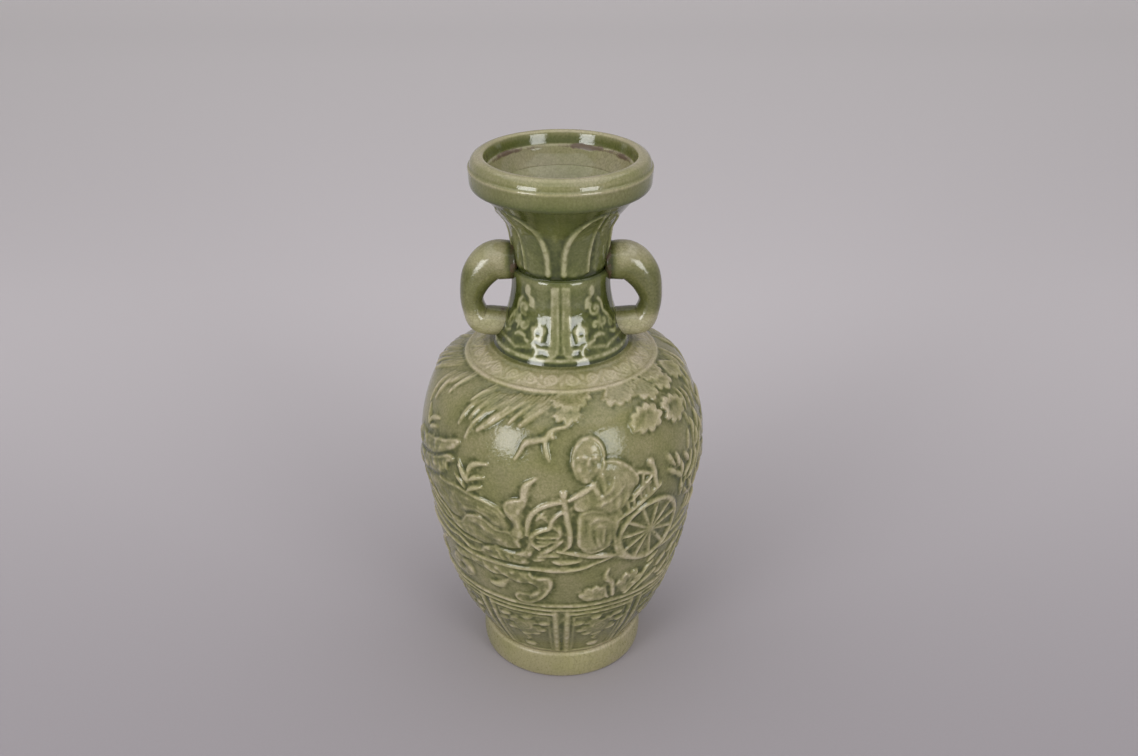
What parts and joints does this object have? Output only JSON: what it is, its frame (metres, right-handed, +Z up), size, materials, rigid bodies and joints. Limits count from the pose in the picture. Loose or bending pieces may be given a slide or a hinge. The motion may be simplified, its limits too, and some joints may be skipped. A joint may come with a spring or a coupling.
{
  "type": "celadon vase",
  "caption": "Baluster-shaped celadon vase with a trumpet neck, a round mouth band, loop handles on the neck and a plain foot ring; holds flowers or stands as ornament.",
  "frame": {"origin": "centre of the foot, on the surface that the vase stands on", "axes": "+Z up the vase's axis, +X towards the right handle, +Y away from the side with the carved scene"},
  "size_m": [0.1417, 0.1428, 0.27],
  "materials": {
    "foot_glaze": "thin olive celadon glaze with fine crackle, unglazed on its standing edge",
    "floor_biscuit": "grey biscuit stoneware",
    "body_glaze": "glossy crackled celadon glaze over moulded relief",
    "neck_glaze": "thick glossy deep green celadon glaze, pale on the ribs",
    "mouth_glaze": "glossy celadon glaze, pale on the edges and green in the hollows",
    "handle_glaze": "glossy celadon glaze, rust brown at the lower joints"
  },
  "bodies": {
    "root": {"foot_ring": "foot_glaze", "vase_floor": "floor_biscuit", "lower_body": "body_glaze", "belly": "body_glaze", "shoulder": "body_glaze", "lower_neck": "neck_glaze", "upper_neck": "neck_glaze", "mouth_ring": "mouth_glaze", "left_handle": "handle_glaze", "right_handle": "handle_glaze"}
  },
  "joints": []
}
